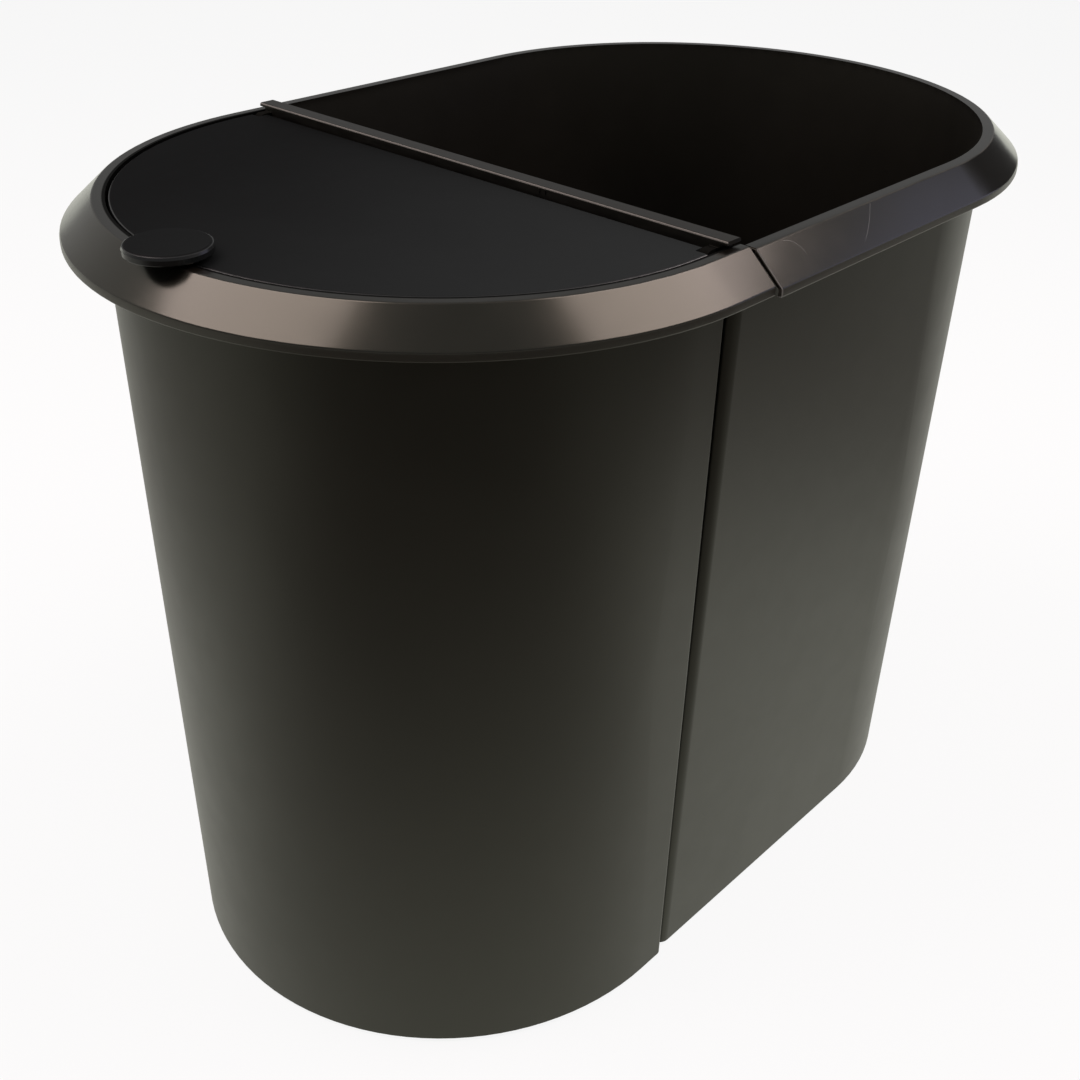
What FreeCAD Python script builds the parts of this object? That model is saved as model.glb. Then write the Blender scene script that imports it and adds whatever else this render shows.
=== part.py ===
import FreeCAD, Part
import math
import os

# Double recycling bin: a small lidded bin hooked onto a large open bin.
# Millimetres, +Z up. The large bin lies towards +X and the lidded bin towards -X.
# The origin is on the floor, under the middle of the pair.

# Height of the pair
RIM_HEIGHT = 342.0  # floor to the top of the large bin's collar
RIM_STEP = 0.5  # how far the small bin's collar stands above the large one's

# Sizes that belong to one bin each
LARGE_STRAIGHT = 150.0  # from the flat wall to the centre of the round end
LARGE_RIM_HALF = 128.7  # half width of the opening, and radius of its round end
LARGE_BASE_HALF = 116.4
LARGE_CORNER = 5.5  # upright corners beside the flat wall
LARGE_INNER_CORNER = 3.4
SMALL_STRAIGHT = 14.7
SMALL_RIM_HALF = 126.6
SMALL_BASE_HALF = 118.4
SMALL_CORNER = 2.8
SMALL_INNER_CORNER = 1.6

# Walls and floor, alike on both bins
WALL = 2.4
FLAT_WALL = 1.8
FLOOR = 2.4
BASE_BEVEL = 1.6
INNER_BEVEL = 1.2  # between the floor and the walls
FOOT_WIDTH = 11.0  # ring that stands on the floor
FOOT_LIFT = 1.5  # how far the middle of the base is raised inside that ring

# Flared collar, alike on both bins
LAND = 4.9
SLOPE_OUT = 12.5
SLOPE_DOWN = 11.8
SKIRT = 3.4
COLLAR_THICK = 2.0
EDGE_ROUND = 0.8
LAND_ROUND = 1.4
END_BEVEL = 0.4  # round the collar's ends, where it stops beside the other bin
ROUND_FLATS = 2  # short flats that make up each rounded edge

# How the two bins meet
WALL_GAP = 1.6  # between the two flat walls
WING = 5.2  # how far the small bin's collar reaches past the middle of that gap
COLLAR_GAP = 0.9  # between the ends of the two collars
WING_CLEARANCE = 0.6

# Hook rail: three legs under one bar, over both flat walls
RAIL_RISE = 3.0  # top of the bar above the small bin's rim
RAIL_SEAT = 0.1  # under the bar, over the small bin's flat wall
LEG = 1.2
LEG_DEPTH = 13.0
MIDDLE_LEG = 0.9
CLIP_PLAY = 0.15  # each side of the small bin's flat wall
RAIL_END = 1.8  # how far the bar lies over the land at each end
RAIL_STEP = 1.5  # thickness of the bar where it lies over the land
MARK_PLACE = 41.0  # two small raised marks on the bar's front face
MARK_PITCH = 3.0
MARK_SIZE = 0.7

# Lid and its hinge
LID_DROP = 0.3  # top of the lid below the small bin's rim
LID_GAP = 0.9
LID_THICK = 2.0
LID_LIP = 5.0
LID_LIP_THICK = 1.6
LID_EDGE_ROUND = 1.1
BARREL_RADIUS = 2.8
BARREL_GAP = 0.9
PIN_RADIUS = 1.8
PIN_PLAY = 0.08
PIN_LENGTH = 3.6
LUG_RADIUS = 3.2
LUG_THICK = 4.0
LUG_CLEARANCE = 0.6
LUG_FROM_RIM = 2.0

# Finger tab
TAB_RADIUS = 15.2
TAB_THICK = 3.4
TAB_ROUND = 1.3
TAB_UNDER_ROUND = 0.4
NECK_RADIUS = 9.6
NECK_HEIGHT = 1.2
TAB_SEAT = 0.3  # over the land, where the tab rests when the lid is shut
PEG_RADIUS = 2.5
PEG_PLAY = 0.05
PEG_FROM_EDGE = 5.2
PEG_HEAD = 3.1
PEG_HEAD_THICK = 1.2

# Places worked out from the sizes above
LARGE_RIM = RIM_HEIGHT
SMALL_RIM = RIM_HEIGHT + RIM_STEP
COLLAR_REACH = LAND + SLOPE_OUT
HALF_GAP = WALL_GAP / 2
LARGE_CENTRE = HALF_GAP + LARGE_STRAIGHT
SMALL_CENTRE = HALF_GAP + SMALL_STRAIGHT
LARGE_REACH = LARGE_CENTRE + LARGE_RIM_HALF + COLLAR_REACH
SMALL_REACH = SMALL_CENTRE + SMALL_RIM_HALF + COLLAR_REACH
SEAM_X = (SMALL_REACH - LARGE_REACH) / 2
RAIL_HALF = HALF_GAP + FLAT_WALL + CLIP_PLAY + LEG
RAIL_TOP = SMALL_RIM + RAIL_RISE
RAIL_UNDER = SMALL_RIM + RAIL_SEAT
LID_TOP = SMALL_RIM - LID_DROP
LID_UNDER = LID_TOP - LID_LIP
LID_HALF = SMALL_RIM_HALF - LID_GAP
PIVOT_OUT = RAIL_HALF + BARREL_GAP + BARREL_RADIUS
PIVOT_Z = LID_TOP - BARREL_RADIUS
LUG_OUTER = SMALL_RIM_HALF - LUG_FROM_RIM
LUG_INNER = LUG_OUTER - LUG_THICK
BARREL_HALF = LUG_INNER - LUG_CLEARANCE
APEX_OUT = SMALL_CENTRE + SMALL_RIM_HALF
PEG_OUT = APEX_OUT - LID_GAP - PEG_FROM_EDGE
UP = FreeCAD.Vector(0, 0, 1)
ALONG = FreeCAD.Vector(0, 1, 0)
MIDDLE = FreeCAD.Vector(0, 0, 0)
SAME_PLACE = 1e-4  # nearer than this, two places are one


def point(x, y, z):
    return FreeCAD.Vector(x, y, z)


def eased(corners):
    """Outline through (point, radius) corners, each rounded by short flats."""
    outline = []
    for i, (here, radius) in enumerate(corners):
        if radius == 0:
            outline.append(here)
            continue
        before = (corners[i - 1][0] - here).normalize()
        after = (corners[(i + 1) % len(corners)][0] - here).normalize()
        half_angle = before.getAngle(after) / 2
        centre = here + (before + after).normalize() * (radius / math.sin(half_angle))
        start = here + before * (radius / math.tan(half_angle))
        finish = here + after * (radius / math.tan(half_angle))
        for step in range(ROUND_FLATS + 1):
            spoke = start + (finish - start) * (step / ROUND_FLATS) - centre
            outline.append(centre + spoke.normalize() * radius)
    return outline


def face_of(outline):
    """Flat face inside a closed outline of straight lines."""
    return Part.Face(Part.makePolygon(outline + outline[:1]))


def d_form(flat_x, centre_x, half_outline):
    """Solid with a flat end at flat_x and a round end, from (half width, z, radius) corners."""
    low_z = half_outline[0][1]
    high_z = half_outline[-1][1]
    side = [(point(centre_x, -out, z), radius) for out, z, radius in half_outline]
    axis_ends = [(point(centre_x, 0, high_z), 0), (point(centre_x, 0, low_z), 0)]
    half_section = eased(side + axis_ends)
    round_end = face_of(half_section).revolve(point(centre_x, 0, 0), UP, 180)
    near_side = half_section[:-2]
    far_side = [point(centre_x, -corner.y, corner.z) for corner in reversed(near_side)]
    straight = face_of(near_side + far_side).extrude(point(flat_x - centre_x, 0, 0))
    return straight.fuse(round_end).removeSplitter()


def end_edges(solid, flat_x):
    """All edges that lie in one upright plane across the pair."""
    found = []
    for edge in solid.Edges:
        box = edge.BoundBox
        if max(abs(box.XMin - flat_x), abs(box.XMax - flat_x)) < SAME_PLACE:
            found.append(edge)
    return found


def flat_end_corners(solid, flat_x):
    """The two upright edges where the flat end meets the straight sides."""
    return [edge for edge in end_edges(solid, flat_x) if edge.BoundBox.ZLength > edge.BoundBox.YLength]


def edges_at(solid, z):
    """All edges that lie in one level plane."""
    found = []
    for edge in solid.Edges:
        box = edge.BoundBox
        if max(abs(box.ZMin - z), abs(box.ZMax - z)) < SAME_PLACE:
            found.append(edge)
    return found


def both_sides(shape):
    """A shape and its mirror image across the middle of the pair."""
    return [shape, shape.mirror(MIDDLE, ALONG)]


def cut_all(shape, tools):
    for tool in tools:
        shape = shape.cut(tool)
    return shape


def half_width_at(z, rim_half, base_half, rim_height):
    """Outer half width of a tapered body at one height."""
    return base_half + (rim_half + WALL - base_half) * z / rim_height


def collar_section(centre_x, rim_half, rim_height):
    """Section of the collar at the -Y side: land, slope, skirt, and back under them."""
    angle = math.atan2(SLOPE_DOWN, SLOPE_OUT)
    skirt_top = rim_height - SLOPE_DOWN
    skirt_foot = skirt_top - SKIRT
    skirt_inside = COLLAR_REACH - COLLAR_THICK
    under_land = LAND - COLLAR_THICK * math.tan(angle / 2)
    under_skirt = skirt_top - COLLAR_THICK * math.tan((math.pi / 2 - angle) / 2)
    outline = [
        (0, rim_height, EDGE_ROUND),
        (LAND, rim_height, LAND_ROUND),
        (COLLAR_REACH, skirt_top, LAND_ROUND),
        (COLLAR_REACH, skirt_foot, EDGE_ROUND),
        (skirt_inside, skirt_foot, 0),
        (skirt_inside, under_skirt, 0),
        (under_land, rim_height - COLLAR_THICK, 0),
        (0, rim_height - COLLAR_THICK, 0),
    ]
    return face_of(eased([(point(centre_x, -rim_half - out, z), radius) for out, z, radius in outline]))


def collar(start_x, centre_x, rim_half, rim_height):
    """Flared collar from start_x along both sides and round the end."""
    section = collar_section(centre_x, rim_half, rim_height)
    round_end = section.revolve(point(centre_x, 0, 0), UP, 180)
    straight = section.extrude(point(start_x - centre_x, 0, 0))
    straight = straight.makeChamfer(END_BEVEL, end_edges(straight, start_x))
    return round_end.multiFuse(both_sides(straight)).removeSplitter()


def bin_shell(centre_x, rim_half, base_half, rim_height, corners, collar_start):
    """One bin, with its flat wall at the middle of the pair and its round end at +X."""
    outer_corner, inner_corner = corners
    outer = d_form(HALF_GAP, centre_x, [(base_half, 0, 0), (rim_half + WALL, rim_height, 0)])
    outer = outer.makeFillet(outer_corner, flat_end_corners(outer, HALF_GAP))
    outer = outer.makeChamfer(BASE_BEVEL, edges_at(outer, 0))

    inside_x = HALF_GAP + FLAT_WALL
    floor_z = FOOT_LIFT + FLOOR
    floor_half = half_width_at(floor_z, rim_half, base_half, rim_height) - WALL
    cavity = d_form(inside_x, centre_x, [(floor_half, floor_z, 0), (rim_half, rim_height, 0)])
    cavity = cavity.makeFillet(inner_corner, flat_end_corners(cavity, inside_x))
    cavity = cavity.makeChamfer(INNER_BEVEL, edges_at(cavity, floor_z))

    foot_half = base_half - FOOT_WIDTH
    recess_outline = [(foot_half, 0, 0), (foot_half - FOOT_LIFT, FOOT_LIFT, 0)]
    recess = d_form(HALF_GAP + FOOT_WIDTH, centre_x, recess_outline)
    rim = collar(collar_start, centre_x, rim_half, rim_height)
    return cut_all(outer, [cavity, recess]).fuse(rim).removeSplitter()


def place_large(shape):
    """Move a shape made about the middle plane to the large bin's side."""
    return shape.translated(point(SEAM_X, 0, 0))


def place_small(shape):
    """Turn a shape made about the middle plane to the small bin's side."""
    turned = shape.copy()
    turned.rotate(MIDDLE, UP, 180)
    return turned.translated(point(SEAM_X, 0, 0))


def large_bin():
    """Open bin; its corners are cut down where the other collar's wings pass over."""
    collar_start = WING + COLLAR_GAP
    corners = (LARGE_CORNER, LARGE_INNER_CORNER)
    shell = bin_shell(LARGE_CENTRE, LARGE_RIM_HALF, LARGE_BASE_HALF, LARGE_RIM, corners, collar_start)
    notch_from = SMALL_RIM_HALF - WING_CLEARANCE
    notch_floor = SMALL_RIM - COLLAR_THICK * 2 - WING_CLEARANCE  # clear of the wing's thickness
    notch_width = LARGE_RIM_HALF + WALL + COLLAR_REACH - notch_from
    notch = Part.makeBox(collar_start, notch_width, LARGE_RIM, point(0, notch_from, notch_floor))
    return place_large(cut_all(shell, both_sides(notch)))


def small_bin():
    """Lidded bin; its collar runs on past the flat wall as two wings."""
    corners = (SMALL_CORNER, SMALL_INNER_CORNER)
    shell = bin_shell(SMALL_CENTRE, SMALL_RIM_HALF, SMALL_BASE_HALF, SMALL_RIM, corners, -WING)
    return place_small(shell)


def rail_section():
    """Section of the rail, seen along Y: one bar with three legs."""
    clip_inner = RAIL_HALF - LEG
    middle = MIDDLE_LEG / 2
    leg_foot = RAIL_UNDER - LEG_DEPTH
    foot_round = LEG / 3
    right_half = [
        (RAIL_HALF, RAIL_TOP, EDGE_ROUND),
        (RAIL_HALF, leg_foot, foot_round),
        (clip_inner, leg_foot, foot_round),
        (clip_inner, RAIL_UNDER, 0),
        (middle, RAIL_UNDER, 0),
        (middle, leg_foot, 0),
    ]
    left_half = [(-x, z, radius) for x, z, radius in reversed(right_half)]
    return face_of(eased([(point(x, 0, z), radius) for x, z, radius in right_half + left_half]))


def bar_section():
    """Section of the bar alone, where it lies over the land at each end."""
    bar_under = RAIL_TOP - RAIL_STEP
    outline = [
        (point(RAIL_HALF, 0, RAIL_TOP), EDGE_ROUND),
        (point(RAIL_HALF, 0, bar_under), 0),
        (point(-RAIL_HALF, 0, bar_under), 0),
        (point(-RAIL_HALF, 0, RAIL_TOP), EDGE_ROUND),
    ]
    return face_of(eased(outline))


def run_across(section, half_length):
    """Straight bar of one section, as long on both sides of the middle."""
    return section.extrude(ALONG * (half_length * 2)).translated(ALONG * -half_length)


def hinge_lug():
    """Eye for the lid's pin on the rail's front leg, at the +Y end."""
    eye_start = point(PIVOT_OUT, LUG_INNER, PIVOT_Z)
    eye = Part.makeCylinder(LUG_RADIUS, LUG_THICK, eye_start, ALONG)
    neck_start = point(RAIL_HALF, LUG_INNER, PIVOT_Z - LUG_RADIUS)
    neck = Part.makeBox(PIVOT_OUT - RAIL_HALF, LUG_THICK, LUG_RADIUS * 2, neck_start)
    bore = Part.makeCylinder(PIN_RADIUS + PIN_PLAY, LUG_THICK, eye_start, ALONG)
    return eye.fuse(neck).cut(bore)


def rail_marks():
    """Two small raised marks on the bar's front face."""
    low = LID_TOP + MARK_SIZE
    high = RAIL_TOP - EDGE_ROUND
    marks = []
    for side in (-1, 1):
        place = point(RAIL_HALF - MARK_SIZE / 2, MARK_PLACE + side * MARK_PITCH / 2, low)
        marks.append(Part.makeBox(MARK_SIZE, MARK_SIZE, high - low, place))
    return marks


def hook_rail():
    """Bar over both flat walls, clipped to the small bin, hooked over the large one."""
    legs = run_across(rail_section(), SMALL_RIM_HALF - SMALL_INNER_CORNER)
    bar = run_across(bar_section(), SMALL_RIM_HALF + RAIL_END)
    pieces = [bar] + both_sides(hinge_lug()) + rail_marks()
    return place_small(legs.multiFuse(pieces).removeSplitter())


def lid_pocket():
    """Room for a hinge eye in the lid's rear corner, at the +Y side."""
    length = PIVOT_OUT + LUG_RADIUS + LUG_CLEARANCE - RAIL_HALF
    height = LID_LIP * 3  # the lip's height, and as much again above and below it
    start = point(RAIL_HALF, BARREL_HALF, LID_UNDER - LID_LIP)
    pocket = Part.makeBox(length, SMALL_RIM_HALF, height, start)
    inner = []
    for edge in pocket.Edges:
        if edge.BoundBox.XMin > PIVOT_OUT and edge.BoundBox.YMax < LUG_INNER:
            inner.append(edge)
    return pocket.makeFillet(LUG_CLEARANCE, inner)


def lid():
    """Flush D-shaped lid with a down-turned lip, a hinge barrel and two stub pins."""
    edge = [(LID_HALF, LID_UNDER, 0), (LID_HALF, LID_TOP, LID_EDGE_ROUND)]
    plate = d_form(PIVOT_OUT, SMALL_CENTRE, edge)
    hollow_half = LID_HALF - LID_LIP_THICK
    hollow_top = LID_TOP - LID_THICK
    hollow = d_form(RAIL_HALF, SMALL_CENTRE, [(hollow_half, LID_UNDER, 0), (hollow_half, hollow_top, 0)])
    panel = cut_all(plate, [hollow] + both_sides(lid_pocket()))
    barrel_start = point(PIVOT_OUT, -BARREL_HALF, PIVOT_Z)
    barrel = Part.makeCylinder(BARREL_RADIUS, BARREL_HALF * 2, barrel_start, ALONG)
    pin_half = BARREL_HALF + PIN_LENGTH
    pins = Part.makeCylinder(PIN_RADIUS, pin_half * 2, point(PIVOT_OUT, -pin_half, PIVOT_Z), ALONG)
    peg_bore = Part.makeCylinder(PEG_RADIUS + PEG_PLAY, LID_LIP, point(PEG_OUT, 0, LID_UNDER))
    return place_small(panel.multiFuse([barrel, pins]).removeSplitter().cut(peg_bore))


def finger_tab():
    """Round tab over the edge of the lid: disc, neck on the lid, and a peg through it."""
    neck_foot = SMALL_RIM + TAB_SEAT
    disc_foot = neck_foot + NECK_HEIGHT
    disc_top = disc_foot + TAB_THICK
    outline = [
        (0, neck_foot, 0),
        (NECK_RADIUS, neck_foot, 0),
        (NECK_RADIUS, disc_foot, 0),
        (TAB_RADIUS, disc_foot, TAB_UNDER_ROUND),
        (TAB_RADIUS, disc_top, TAB_ROUND),
        (0, disc_top, 0),
    ]
    section = face_of(eased([(point(APEX_OUT + out, 0, z), radius) for out, z, radius in outline]))
    disc = section.revolve(point(APEX_OUT, 0, 0), UP, 360)
    flat_half = LID_HALF - LID_EDGE_ROUND
    lid_flat = d_form(PIVOT_OUT, SMALL_CENTRE, [(flat_half, LID_TOP, 0), (flat_half, neck_foot, 0)])
    foot = Part.makeCylinder(NECK_RADIUS, neck_foot - LID_TOP, point(APEX_OUT, 0, LID_TOP))
    foot = foot.common(lid_flat)
    peg_foot = LID_TOP - LID_THICK
    peg = Part.makeCylinder(PEG_RADIUS, LID_THICK, point(PEG_OUT, 0, peg_foot))
    head = Part.makeCylinder(PEG_HEAD, PEG_HEAD_THICK, point(PEG_OUT, 0, peg_foot - PEG_HEAD_THICK))
    return place_small(disc.multiFuse([foot, peg, head]).removeSplitter())


def main():
    os.makedirs("parts", exist_ok=True)
    pieces = {
        "large_bin": large_bin(),
        "small_bin": small_bin(),
        "hook_rail": hook_rail(),
        "lid": lid(),
        "finger_tab": finger_tab(),
    }
    for name, shape in pieces.items():
        state = "valid" if shape.isValid() else "NOT VALID"
        print(name, len(shape.Solids), "solid", state, round(shape.Volume / 1000, 1), "cm3")
        shape.exportStep("parts/" + name + ".step")
    box = Part.makeCompound(list(pieces.values())).optimalBoundingBox(False, False)
    print("length", round(box.XLength, 2), "width", round(box.YLength, 2), "height", round(box.ZLength, 2))
    print("middle", round(box.Center.x, 3), round(box.Center.y, 3), "lowest", round(box.ZMin, 3))


main()
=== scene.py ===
import bpy
import math
from mathutils import Matrix, Vector


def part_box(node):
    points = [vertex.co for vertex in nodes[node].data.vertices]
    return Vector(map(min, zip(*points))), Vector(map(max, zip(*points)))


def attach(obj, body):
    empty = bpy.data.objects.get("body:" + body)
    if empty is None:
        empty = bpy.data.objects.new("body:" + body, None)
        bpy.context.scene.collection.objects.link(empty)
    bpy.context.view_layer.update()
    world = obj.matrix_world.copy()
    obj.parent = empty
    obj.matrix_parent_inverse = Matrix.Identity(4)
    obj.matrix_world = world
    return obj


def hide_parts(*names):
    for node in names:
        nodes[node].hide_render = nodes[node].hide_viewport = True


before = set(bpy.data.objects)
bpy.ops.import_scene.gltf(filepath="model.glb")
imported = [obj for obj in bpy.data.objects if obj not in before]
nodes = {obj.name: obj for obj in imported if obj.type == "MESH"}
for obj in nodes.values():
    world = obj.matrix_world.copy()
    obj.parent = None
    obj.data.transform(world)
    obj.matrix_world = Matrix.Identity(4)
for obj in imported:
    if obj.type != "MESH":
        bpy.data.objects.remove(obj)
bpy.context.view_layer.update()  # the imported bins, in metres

mm = 0.001
print("frame loaded:", len(nodes), "nodes")

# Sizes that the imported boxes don't give
collar = {"reach": 17.4 * mm, "height": 15.2 * mm, "land": 4.9 * mm, "drop": 11.8 * mm}
halfWall = 1.2 * mm
halfGap = 0.8 * mm  # from the seam to each flat wall
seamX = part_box("large_bin")[0].x - halfGap


def binPlan(node, side, base):
    # a bin's opening: its half width, the centre of its round end, and the side to which that end points
    low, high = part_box(node)
    edge = high.y - collar["reach"]
    tip = high.x if side > 0 else low.x
    centre = tip - side * (collar["reach"] + edge)
    return {"side": side, "base": base, "edge": edge, "centre": centre, "rim": high.z}


smallPlan = binPlan("small_bin", -1.0, 118.4 * mm)  # base is the half width at the floor
largePlan = binPlan("large_bin", 1.0, 116.4 * mm)


class Wire:
    # one socket of a material, on which sums can be written

    def __init__(self, paint, socket):
        self.paint = paint
        self.socket = socket

    def sum(self, operation, first, second=0.0):
        return self.paint.node("ShaderNodeMath", {"operation": operation}, {0: first, 1: second})

    def __add__(self, other):
        return self.sum("ADD", self, other)

    def __radd__(self, other):
        return self.sum("ADD", other, self)

    def __sub__(self, other):
        return self.sum("SUBTRACT", self, other)

    def __rsub__(self, other):
        return self.sum("SUBTRACT", other, self)

    def __mul__(self, other):
        return self.sum("MULTIPLY", self, other)

    def __rmul__(self, other):
        return self.sum("MULTIPLY", other, self)

    def __truediv__(self, other):
        return self.sum("DIVIDE", self, other)

    def __abs__(self):
        return self.sum("ABSOLUTE", self)

    def root(self):
        return self.sum("SQRT", self)

    def most(self, other):
        return self.sum("MAXIMUM", self, other)

    def rise(self, low, high):
        # 0 below low, 1 above high, and a soft step between them
        limits = {"Value": self, "From Min": low, "From Max": high}
        return self.paint.node("ShaderNodeMapRange", {"interpolation_type": "SMOOTHSTEP"}, limits)

    def band(self, start, end):
        # 1 between a soft start and a soft end, and 0 outside them
        return self.rise(*start) * (1.0 - self.rise(*end))


class Paint:
    # a material's node tree, and the one way in which nodes are added to it

    def __init__(self, owner):
        owner.use_nodes = True
        self.owner = owner
        self.tree = owner.node_tree
        self.tree.nodes.clear()

    def node(self, kind, settings, sockets, out=0):
        made = self.tree.nodes.new(kind)
        for name, value in settings.items():
            setattr(made, name, value)
        for name, value in sockets.items():
            if isinstance(value, Wire):
                self.tree.links.new(value.socket, made.inputs[name])
            else:
                made.inputs[name].default_value = value
        return Wire(self, made.outputs[out]) if made.outputs else None

    def point(self):
        return self.node("ShaderNodeTexCoord", {}, {}, "Object")

    def axes(self, vector):
        return [self.node("ShaderNodeSeparateXYZ", {}, {"Vector": vector}, i) for i in range(3)]

    def ray(self, kind):
        return self.node("ShaderNodeLightPath", {}, {}, kind)

    def noise(self, vector, size, detail=2.0, rough=0.5):
        sockets = {"Vector": vector, "Scale": 1 / size, "Detail": detail, "Roughness": rough}
        return self.node("ShaderNodeTexNoise", {}, sockets, "Fac")

    def stretched(self, vector, stretch):
        return self.node("ShaderNodeMapping", {}, {"Vector": vector, "Scale": stretch})

    def blend(self, share, first, second):
        # from the first colour, which may vary over the surface, to the second
        first = first if isinstance(first, Wire) else (*first, 1)
        settings = {"data_type": "RGBA", "clamp_factor": True}
        return self.node("ShaderNodeMix", settings, {0: share, 6: first, 7: (*second, 1)}, 2)

    def bumps(self, height, depth):
        return self.node("ShaderNodeBump", {}, {"Height": height, "Distance": depth, "Strength": 1.0})

    def finish(self, shader):
        self.node("ShaderNodeOutputMaterial", {}, {"Surface": shader})
        return self.owner


def newMaterial(name):
    return Paint(bpy.data.materials.new(name))


# Walls and collar of one bin: fine matte grain on the walls, satin on the collar
binLook = {
    "shade": (0.0026, 0.0022, 0.0018),
    "paleShade": (0.0040, 0.0034, 0.0028),
    "cloudSize": 60 * mm,
    "patchSize": 14 * mm,
    "wallRough": 0.42,
    "wallRoughPlay": 0.06,
    "grainSize": 0.5 * mm,
    "grainDepth": 0.012 * mm,
    "grainOnCollar": 0.15,
    "specular": 0.5,
    "tint": (1.0, 1.0, 0.82, 1.0),
    "coatRough": 0.12,
    # painted shade inside the bin: a darker colour, and a share of the dark flat finish
    "insidePaintedShade": (0.0006, 0.0008, 0.0007),
    "insideSmoother": 0.10,
    "insideShadeShare": 0.62,
    # the dark flat finish that is mixed in as painted shade
    "paintedShadeRough": 0.9,
    "paintedShadeSpecular": 0.02,
    "skirtShade": (0.012, 0.011, 0.0095),
    "ridgeShade": (0.040, 0.038, 0.033),  # worn ridge between land and slope
    "endHighlight": (0.14, 0.135, 0.13),  # painted highlight along the collar's ends at the seam, where their rounded edges catch the light
    "endWidth": 0.45 * mm,
    "mouthShadowWidth": 1.5 * mm,  # painted shadow along the collar's edge, in the gap round the lid
}
# Fine hairlines from handling, thinly strewn over the collars
hairlineLook = {
    "size": 11 * mm,
    "stretch": (1.0, 2.4, 1.6),
    "width": 0.004,  # share of the pattern's range
    "patches": 23 * mm,
    "strewn": (0.50, 0.66),
    "strength": 0.5,
    "shade": (0.10, 0.095, 0.09),
    "rougher": 0.25,
}
# The two collars: end is how far from the seam each stops, and hairlines, mouthShadow (the painted shadow
# in the gap round the lid) and ridge are strengths
smallCollarLook = {
    "rough": 0.22, "play": 0.05, "coat": 0.12, "end": 5.2 * mm,
    "hairlines": 0.08, "mouthShadow": 0.9, "ridge": 0.15, "marked": False,
}
largeCollarLook = {
    "rough": 0.15, "play": 0.06, "coat": 0.12, "end": 6.1 * mm,
    "hairlines": 0.12, "mouthShadow": 0.0, "ridge": 0.8, "marked": True,
}
# Two curved scratches on the large bin's slope, placed along it from the seam and down it from the ridge
scratchLook = {
    "width": 0.16 * mm,
    "strength": 0.8,
    "shade": (0.105, 0.11, 0.108),
    "arcs": [
        {"along": 21.5 * mm, "down": 8.8 * mm, "radius": 7.6 * mm,
         "start": (0.2 * mm, 1.2 * mm), "end": (7 * mm, 11 * mm)},
        {"along": 26.3 * mm, "down": -53.5 * mm, "radius": 77 * mm,
         "start": (0.0, 1 * mm), "end": (11 * mm, 15 * mm)},
    ],
}
# A scuffed patch among them
scuffLook = {
    "along": ((18 * mm, 27 * mm), (42 * mm, 62 * mm)),
    "down": ((1.5 * mm, 4.5 * mm), (10.5 * mm, 14.5 * mm)),
    "speckleSize": 1.6 * mm,
    "speckles": (0.50, 0.72),
    "strength": 0.8,
    "shade": (0.030, 0.029, 0.028),
}


def middleDistance(x, y, plan):
    # distance from the middle line of a bin's opening, straight or round the end
    beyond = ((x - plan["centre"]) * plan["side"]).most(0.0)
    return (beyond * beyond + y * y).root()


def scratches(along, down):
    # how far each point lies on one of the scratches, 0 to 1
    total = 0.0
    width = scratchLook["width"]
    for arc in scratchLook["arcs"]:
        across = along - arc["along"]
        below = down - arc["down"]
        offCurve = abs((across * across + below * below).root() - arc["radius"])
        onArc = down.band(arc["start"], arc["end"]) * across.rise(0.0, 0.5 * mm)
        total = ((1.0 - offCurve.rise(width * 0.4, width)) * onArc).most(total)
    return total


def marked(paint, shade, point, past, onCollar):
    # the large bin's slope, scuffed and scratched on the side that faces the camera
    x, y, z = paint.axes(point)
    slopeOut = collar["reach"] - collar["land"]
    along = x - seamX
    down = (past - collar["land"]) * (math.hypot(slopeOut, collar["drop"]) / slopeOut)
    nearSide = (0.0 - y).rise(0.0, 10 * mm) * onCollar
    speckle = paint.noise(point, scuffLook["speckleSize"], 5.0, 0.7).rise(*scuffLook["speckles"])
    scuffed = along.band(*scuffLook["along"]) * down.band(*scuffLook["down"]) * speckle
    shade = paint.blend(scuffed * nearSide * scuffLook["strength"], shade, scuffLook["shade"])
    scratched = scratches(along, down) * nearSide
    return paint.blend(scratched * scratchLook["strength"], shade, scratchLook["shade"])


def withPaintedShade(paint, share, shader):
    # a dark, flat finish mixed in as painted shade, where shade falls in the bin, in the gap round the lid
    # and between parts
    paintedShade = paint.node("ShaderNodeBsdfPrincipled", {}, {
        "Base Color": (*binLook["insidePaintedShade"], 1.0),
        "Roughness": binLook["paintedShadeRough"],
        "Specular IOR Level": binLook["paintedShadeSpecular"],
    })
    return paint.node("ShaderNodeMixShader", {}, {0: share, 1: shader, 2: paintedShade})


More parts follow.
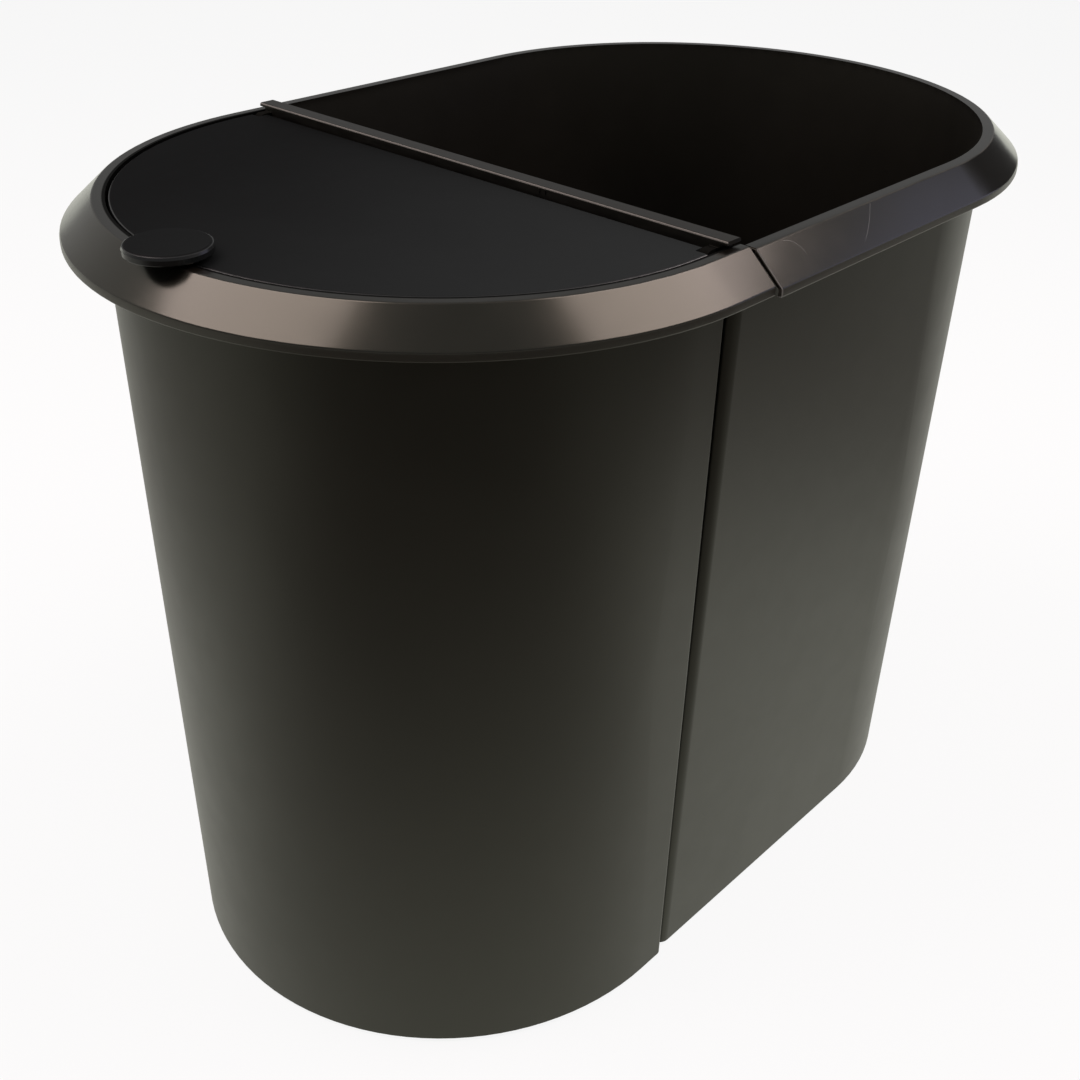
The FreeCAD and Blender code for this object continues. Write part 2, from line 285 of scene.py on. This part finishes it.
def binMaterial(name, plan, look):
    paint = newMaterial(name)
    point = paint.point()
    x, y, z = paint.axes(point)

    # Where each point lies: inside the bin, or on one of the collar's parts
    past = middleDistance(x, y, plan) - plan["edge"]  # how far out from the opening's edge
    wallLine = z * ((plan["edge"] - plan["base"]) / plan["rim"]) + (plan["base"] - halfWall - plan["edge"])
    inside = 1.0 - (past - wallLine).rise(-0.4 * mm, 0.4 * mm)
    skirtLow = plan["rim"] - collar["height"]
    skirtHigh = plan["rim"] - collar["drop"]
    high = z.rise(skirtLow - 0.3 * mm, skirtLow - 0.1 * mm)
    onCollar = high * past.rise(-0.2 * mm, 0.2 * mm)
    onSlope = onCollar * past.rise(collar["land"] - 0.3 * mm, collar["land"] + 0.3 * mm)
    skirtStart = (skirtLow + 0.35 * mm, skirtLow + 0.5 * mm)  # its bottom edge keeps the collar's gloss
    onSkirt = onCollar * z.band(skirtStart, (skirtHigh - 0.2 * mm, skirtHigh))
    onRidge = onCollar * (1.0 - abs(past - collar["land"]).rise(0.15 * mm, 0.35 * mm))
    fromEnd = (x - seamX - look["end"]) * plan["side"]
    onEnd = fromEnd.band((0.02 * mm, 0.08 * mm), (binLook["endWidth"] * 0.7, binLook["endWidth"]))
    atMouth = high * (1.0 - past.rise(binLook["mouthShadowWidth"] * 0.6, binLook["mouthShadowWidth"]))

    # Patterns: broad clouds, patches of wear, grain and hairlines
    cloud = paint.noise(point, binLook["cloudSize"], 3.0).rise(0.3, 0.7)
    patch = paint.noise(point, binLook["patchSize"], 4.0, 0.6)
    grain = paint.noise(point, binLook["grainSize"])
    hair = paint.noise(paint.stretched(point, hairlineLook["stretch"]), hairlineLook["size"], 1.5)
    strewn = paint.noise(point, hairlineLook["patches"], 1.0).rise(*hairlineLook["strewn"]) * onCollar
    hairline = (1.0 - abs(hair - 0.5).rise(0.0, hairlineLook["width"])) * strewn * look["hairlines"]

    shade = paint.blend(cloud, binLook["shade"], binLook["paleShade"])
    # painted shade: darker inside the bin
    shade = paint.blend(inside, shade, binLook["insidePaintedShade"])
    shade = paint.blend(hairline * hairlineLook["strength"], shade, hairlineLook["shade"])
    shade = paint.blend(onSkirt, shade, binLook["skirtShade"])
    # painted highlight along the collar's ends at the seam
    shade = paint.blend(onEnd * onSlope, shade, binLook["endHighlight"])
    wornRidge = onRidge * look["ridge"] * (patch.rise(0.35, 0.6) * 0.6 + 0.4)
    shade = paint.blend(wornRidge, shade, binLook["ridgeShade"])
    if look["marked"]:
        shade = marked(paint, shade, point, past, onCollar)

    wallRough = (patch - 0.5) * binLook["wallRoughPlay"] + binLook["wallRough"]
    wallRough = wallRough - inside * binLook["insideSmoother"]
    collarRough = (patch - 0.5) * look["play"] + look["rough"] + hairline * hairlineLook["rougher"]
    height = grain * (1.0 - onCollar * (1.0 - binLook["grainOnCollar"]))
    shader = paint.node("ShaderNodeBsdfPrincipled", {}, {
        "Base Color": shade,
        "Roughness": wallRough + (collarRough - wallRough) * (onCollar - onSkirt),
        "Normal": paint.bumps(height, binLook["grainDepth"]),
        "Specular IOR Level": binLook["specular"],
        "Specular Tint": binLook["tint"],
        "Coat Weight": onCollar * look["coat"],
        "Coat Roughness": binLook["coatRough"],
    })
    # painted shadow in the gap round the lid, and painted shade inside the bin
    paintedShade = (atMouth * look["mouthShadow"]).most(inside * binLook["insideShadeShare"])
    # painted shade on the land at the collars' ends by the seam
    paintedShade = paintedShade.most(onEnd * (1.0 - onSlope) * high)
    return paint.finish(withPaintedShade(paint, paintedShade, shader))


# Lid and finger tab: dull charcoal with a finer grain, with a painted sheen that makes them paler towards
# the near side, and a thin painted highlight along the rim on the near side
lidLook = {
    "shade": (0.0013, 0.0016, 0.0017),
    "paleShade": (0.0140, 0.0168, 0.0170),
    "sheenLean": 0.35,
    "sheenClouds": 0.03,
    "sheenRange": (-0.13, 0.15),  # metres across the lid from dark to pale in the painted sheen
    "cloudSize": 50 * mm,
    "patchSize": 9 * mm,
    "rimWidth": 0.9 * mm,
    "rimCoat": 0.9,
    "rimCoatRough": 0.22,
    "rimHighlightShade": (0.30, 0.31, 0.31),
    "rimHighlightWidth": 0.5 * mm,
    "lidRimHighlight": 1.0,
    "tabRimHighlight": 0.25,
    "lidRough": 0.60,
    "tabRough": 0.52,
    "roughPlay": 0.06,
    "grainSize": 0.4 * mm,
    "grainDepth": 0.01 * mm,
    "specular": 0.04,
}


def lidMaterial(name, node, rimDistance, rough, highlightStrength):
    paint = newMaterial(name)
    point = paint.point()
    x, y, z = paint.axes(point)
    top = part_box(node)[1].z
    cloud = paint.noise(point, lidLook["cloudSize"], 3.0)
    patch = paint.noise(point, lidLook["patchSize"], 3.0)
    grain = paint.noise(point, lidLook["grainSize"])
    # painted sheen: paler towards the near right
    pale = (x * lidLook["sheenLean"] - y + cloud * lidLook["sheenClouds"]).rise(*lidLook["sheenRange"])
    toRim = rimDistance(x, y)  # less than 0 on the piece
    onRim = toRim.rise(-lidLook["rimWidth"], -lidLook["rimWidth"] * 0.6)
    nearSide = (0.0 - y).rise(-10 * mm, 50 * mm)
    # painted highlight along the top of the rim on the near side, patchy
    rimHighlight = toRim.rise(-lidLook["rimHighlightWidth"], -lidLook["rimHighlightWidth"] * 0.6) * nearSide
    rimHighlight = rimHighlight * z.rise(top - 0.5 * mm, top - 0.3 * mm) * (patch.rise(0.2, 0.5) * 0.3 + 0.7)
    shade = paint.blend(pale, lidLook["shade"], lidLook["paleShade"])
    shader = paint.node("ShaderNodeBsdfPrincipled", {}, {
        "Base Color": paint.blend(rimHighlight * highlightStrength, shade, lidLook["rimHighlightShade"]),
        "Roughness": (patch - 0.5) * lidLook["roughPlay"] + rough,
        "Normal": paint.bumps(grain * (1.0 - onRim), lidLook["grainDepth"]),
        "Specular IOR Level": lidLook["specular"],
        "Coat Weight": onRim * lidLook["rimCoat"],
        "Coat Roughness": lidLook["rimCoatRough"],
    })
    return paint.finish(shader)


def lidRim(x, y):
    # distance outside the lid's curved edge
    return middleDistance(x, y, smallPlan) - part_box("lid")[1].y


def tabRim(x, y):
    # distance outside the round tab's edge
    low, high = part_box("finger_tab")
    across = x - (low.x + high.x) / 2
    return (across * across + y * y).root() - (high.y - low.y) / 2


# Hook rail: smoother plastic, lightly brushed along its length by use
railLook = {
    "shade": (0.0030, 0.0028, 0.0024),
    "paleShade": (0.0060, 0.0056, 0.0048),
    "rubSize": 12 * mm,
    "rubStretch": (8.0, 1.0, 8.0),
    "rough": 0.34,
    "roughPlay": 0.25,
    "grainSize": 0.5 * mm,
    "grainDepth": 0.006 * mm,
    "specular": 0.36,
    "tint": (1.0, 0.98, 0.84, 1.0),
    "edgeFrom": 3.5 * mm,  # from the seam to the bar's edge beside the lid, painted with a highlight
    "edgeHighlight": (0.15, 0.145, 0.135),
    "eyesFrom": 4.3 * mm,  # from the seam to the hinge eyes, in the lid's shadow, which is painted on them
    "eyesRougher": 0.5,
    "eyesPaintedShade": 0.85,
}


def railMaterial():
    paint = newMaterial("railPlastic")
    point = paint.point()
    x, y, z = paint.axes(point)
    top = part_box("hook_rail")[1].z
    rub = paint.noise(paint.stretched(point, railLook["rubStretch"]), railLook["rubSize"], 4.0, 0.65)
    grain = paint.noise(point, railLook["grainSize"])
    out = seamX - x
    onEyes = out.rise(railLook["eyesFrom"], railLook["eyesFrom"] + 0.2 * mm)
    # the bar's edge beside the lid gets a painted highlight
    onEdge = out.rise(railLook["edgeFrom"] - 0.1 * mm, railLook["edgeFrom"] + 0.1 * mm) * (1.0 - onEyes)
    onEdge = onEdge * z.rise(top - 0.7 * mm, top - 0.5 * mm)
    shade = paint.blend(rub.rise(0.35, 0.75), railLook["shade"], railLook["paleShade"])
    rough = (rub - 0.5) * railLook["roughPlay"] + railLook["rough"]
    shader = paint.node("ShaderNodeBsdfPrincipled", {}, {
        "Base Color": paint.blend(onEdge, shade, railLook["edgeHighlight"]),
        "Roughness": rough + onEyes * railLook["eyesRougher"],
        "Normal": paint.bumps(grain, railLook["grainDepth"]),
        "Specular IOR Level": railLook["specular"],
        "Specular Tint": railLook["tint"],
    })
    # painted shade of the lid's shadow on the hinge eyes
    return paint.finish(withPaintedShade(paint, onEyes * railLook["eyesPaintedShade"], shader))


# Copies of the bins that are shaded as one skin, so that no flat shows in the reflections
shellLook = {"weld": 0.002 * mm, "sharpFrom": 35.0}  # degrees from which an edge stays sharp


def smoothShell(node, body, name):
    bpy.ops.object.select_all(action="DESELECT")
    shell = bpy.data.objects.new(name, nodes[node].data.copy())
    bpy.context.scene.collection.objects.link(shell)
    shell.select_set(True)
    bpy.context.view_layer.objects.active = shell
    bpy.ops.mesh.customdata_custom_splitnormals_clear()
    bpy.ops.object.mode_set(mode="EDIT")
    bpy.ops.mesh.select_all(action="SELECT")
    bpy.ops.mesh.remove_doubles(threshold=shellLook["weld"])
    bpy.ops.object.mode_set(mode="OBJECT")
    bpy.ops.object.shade_smooth_by_angle(angle=math.radians(shellLook["sharpFrom"]))
    weights = shell.modifiers.new("evenNormals", "WEIGHTED_NORMAL")
    weights.keep_sharp = True
    weights.weight = 100  # larger faces lead
    bpy.ops.object.modifier_apply(modifier=weights.name)
    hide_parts(node)
    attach(shell, body)
    return shell


def dress(piece, material):
    for slot in piece.material_slots:
        slot.material = material


smallPlastic = binMaterial("smallBinPlastic", smallPlan, smallCollarLook)
largePlastic = binMaterial("largeBinPlastic", largePlan, largeCollarLook)
dress(smoothShell("small_bin", "small_bin", "smallShell"), smallPlastic)
dress(smoothShell("large_bin", "large_bin", "largeShell"), largePlastic)
lidPlastic = lidMaterial("lidPlastic", "lid", lidRim, lidLook["lidRough"], lidLook["lidRimHighlight"])
tabPlastic = lidMaterial("tabPlastic", "finger_tab", tabRim, lidLook["tabRough"], lidLook["tabRimHighlight"])
dress(nodes["lid"], lidPlastic)
dress(nodes["finger_tab"], tabPlastic)
dress(nodes["hook_rail"], railMaterial())
print("bins, lid, tab and rail finished")


# Floor: plain and pale, nearly white where the camera or a reflection sees it, with the bins' shadow
floorLook = {
    "radius": 30.0,
    "below": 0.2 * mm,  # just under the bins' feet
    "paint": 0.80,
    "paintPlay": 0.02,
    "cloudSize": 0.8,
    "white": 0.89,
    "inReflections": (0.99, 1.0, 0.90),
}


def makeDisc(name, radius, height):
    bpy.ops.object.select_all(action="DESELECT")
    place = (0, 0, height)
    bpy.ops.mesh.primitive_circle_add(vertices=96, radius=radius, fill_type="NGON", location=place)
    disc = bpy.context.object
    disc.name = name
    return disc


def makeFloor():
    floor = makeDisc("floor", floorLook["radius"], -floorLook["below"])
    paint = newMaterial("floorPaint")
    cloud = paint.noise(paint.point(), floorLook["cloudSize"])
    pale = floorLook["paint"]
    duller = pale - floorLook["paintPlay"]
    colour = paint.blend(cloud, (pale, pale, pale), (duller, duller, duller))
    matte = paint.node("ShaderNodeBsdfDiffuse", {}, {"Color": colour})
    glossy = paint.ray("Is Glossy Ray")
    seen = paint.ray("Is Camera Ray").most(glossy).most(paint.ray("Is Transmission Ray"))
    glow = paint.blend(glossy, (1, 1, 1), floorLook["inReflections"])
    white = paint.node("ShaderNodeEmission", {}, {"Color": glow, "Strength": 1.0})
    share = seen * floorLook["white"]
    paint.finish(paint.node("ShaderNodeMixShader", {}, {0: share, 1: matte, 2: white}))
    floor.data.materials.append(paint.owner)


# Dark card on the floor in front, seen only in reflections: it draws the walls' dark upper half
cardLook = {
    "lift": 2 * mm,
    "radius": 6.0,
    "colour": (0.06, 0.045, 0.036, 1.0),
    "beside": {"from": 0.27, "full": 0.70, "dark": 0.74, "darkerRight": 0.24},  # from and full in metres
    "front": {"from": 0.04, "full": 0.64, "dark": 0.99},
}


def makeCard(cameraTurn):
    card = makeDisc("darkCard", cardLook["radius"], cardLook["lift"])
    paint = newMaterial("cardPaint")
    x, y, z = paint.axes(paint.point())
    far = (x * x + y * y).root()
    aheadX, aheadY = math.cos(cameraTurn), math.sin(cameraTurn)
    toCamera = (x * -aheadX + y * -aheadY) / far.most(0.01)
    toRight = (x * aheadX - y * aheadY) / far.most(0.01)  # towards the right soft box
    beside, front = cardLook["beside"], cardLook["front"]
    besideDark = toRight * beside["darkerRight"] + beside["dark"]
    besideCover = far.rise(beside["from"], beside["full"]) * besideDark * toCamera.rise(-0.7, -0.1)
    frontCover = far.rise(front["from"], front["full"]) * toCamera.rise(0.2, 0.95) * front["dark"]
    clear = paint.node("ShaderNodeBsdfTransparent", {}, {})
    black = paint.node("ShaderNodeBsdfDiffuse", {}, {"Color": cardLook["colour"]})
    cover = besideCover.most(frontCover)
    paint.finish(paint.node("ShaderNodeMixShader", {}, {0: cover, 1: clear, 2: black}))
    card.data.materials.append(paint.owner)
    card.visible_camera = False
    card.visible_diffuse = False
    card.visible_shadow = False
    card.visible_transmission = False


# Studio light: two round soft boxes, one on each side of the camera
lightLook = {
    "right": {"turn": -41.0, "rise": 52.0, "size": 1.04},
    "left": {"turn": 138.0, "rise": 55.5, "size": 1.06},
    "distance": 1.25,
    "glow": 5.4,
    "colour": (1.0, 0.82, 0.81),
}


def makeSoftBox(name, box):
    turn = math.radians(box["turn"])
    rise = math.radians(box["rise"])
    away = Vector((math.cos(turn) * math.cos(rise), math.sin(turn) * math.cos(rise), math.sin(rise)))
    aim = Vector((seamX, 0.0, smallPlan["rim"]))
    lamp = bpy.data.lights.new(name, "AREA")
    lamp.shape = "DISK"
    lamp.size = box["size"]
    lamp.energy = lightLook["glow"] * math.pi * math.pi * box["size"] ** 2 / 4  # the same glow at any size
    lamp.color = lightLook["colour"]
    holder = bpy.data.objects.new(name, lamp)
    holder.location = aim + away * lightLook["distance"]
    holder.rotation_euler = away.to_track_quat("Z", "Y").to_euler()
    bpy.context.scene.collection.objects.link(holder)


# Dim room around the bins: turn is a direction's bearing in degrees, and z its height, up to 1 overhead
roomLook = {
    "colour": (0.27, 0.27, 0.27),
    "behind": {"turn": ((62, 92), (120, 160)), "colour": (0.46, 0.45, 0.43)},
    "above": {"z": (0.5, 0.9), "colour": (0.34, 0.34, 0.34)},
    "window": {
        "turn": ((-45, -38), (-17, -14)), "z": ((0.05, 0.12), (0.46, 0.50)), "colour": (0.60, 0.60, 0.80),
    },
    "corner": {"turn": ((-16, -13.5), (6, 14)), "below": (0.36, 0.48), "colour": (0.06, 0.06, 0.06)},
    "backdrop": (0.97, 0.97, 0.97),  # what the camera itself sees above the floor
}


def makeRoom():
    world = bpy.data.worlds.new("room")
    bpy.context.scene.world = world
    paint = Paint(world)
    x, y, z = paint.axes(paint.node("ShaderNodeTexCoord", {}, {}, "Generated"))
    turn = y.sum("ARCTAN2", y, x) * (180 / math.pi)
    behind, above, window, corner = (roomLook[name] for name in ("behind", "above", "window", "corner"))
    room = paint.blend(turn.band(*behind["turn"]), roomLook["colour"], behind["colour"])
    room = paint.blend(z.rise(*above["z"]), room, above["colour"])
    room = paint.blend(turn.band(*window["turn"]) * z.band(*window["z"]), room, window["colour"])
    inCorner = turn.band(*corner["turn"]) * (1.0 - z.rise(*corner["below"]))
    room = paint.blend(inCorner, room, corner["colour"])
    room = paint.blend(paint.ray("Is Camera Ray"), room, roomLook["backdrop"])
    shade = paint.node("ShaderNodeBackground", {}, {"Color": room, "Strength": 1.0})
    paint.node("ShaderNodeOutputWorld", {}, {"Surface": shade})


# Camera: its place is in metres from the floor under the middle of the seam
cameraLook = {
    "place": (-0.4091, -0.4099, 0.5175),
    "turn": 39.60,
    "tilt": 27.54,
    "roll": 2.02,
    "lens": 49.66,
    "shift": (-0.0563, -0.0796),
}


def makeCamera():
    turn, tilt, roll = (math.radians(cameraLook[name]) for name in ("turn", "tilt", "roll"))
    ahead = Vector((math.cos(tilt) * math.cos(turn), math.cos(tilt) * math.sin(turn), -math.sin(tilt)))
    right = Vector((math.sin(turn), -math.cos(turn), 0.0))
    above = right.cross(ahead)
    rolledRight = right * math.cos(roll) + above * math.sin(roll)
    rolledAbove = above * math.cos(roll) - right * math.sin(roll)
    data = bpy.data.cameras.new("camera")
    data.lens = cameraLook["lens"]
    data.sensor_width = 36.0
    data.shift_x, data.shift_y = cameraLook["shift"]
    data.clip_start = 0.01
    camera = bpy.data.objects.new("camera", data)
    facing = Matrix((rolledRight, rolledAbove, -ahead)).transposed()
    place = Vector(cameraLook["place"]) + Vector((seamX, 0.0, 0.0))
    camera.matrix_world = Matrix.Translation(place) @ facing.to_4x4()
    bpy.context.scene.collection.objects.link(camera)
    bpy.context.scene.camera = camera


makeCamera()
makeFloor()
makeCard(math.radians(cameraLook["turn"]))
makeSoftBox("softBoxRight", lightLook["right"])
makeSoftBox("softBoxLeft", lightLook["left"])
makeRoom()
bpy.context.scene.view_settings.view_transform = "Standard"
print("camera, floor and light set")
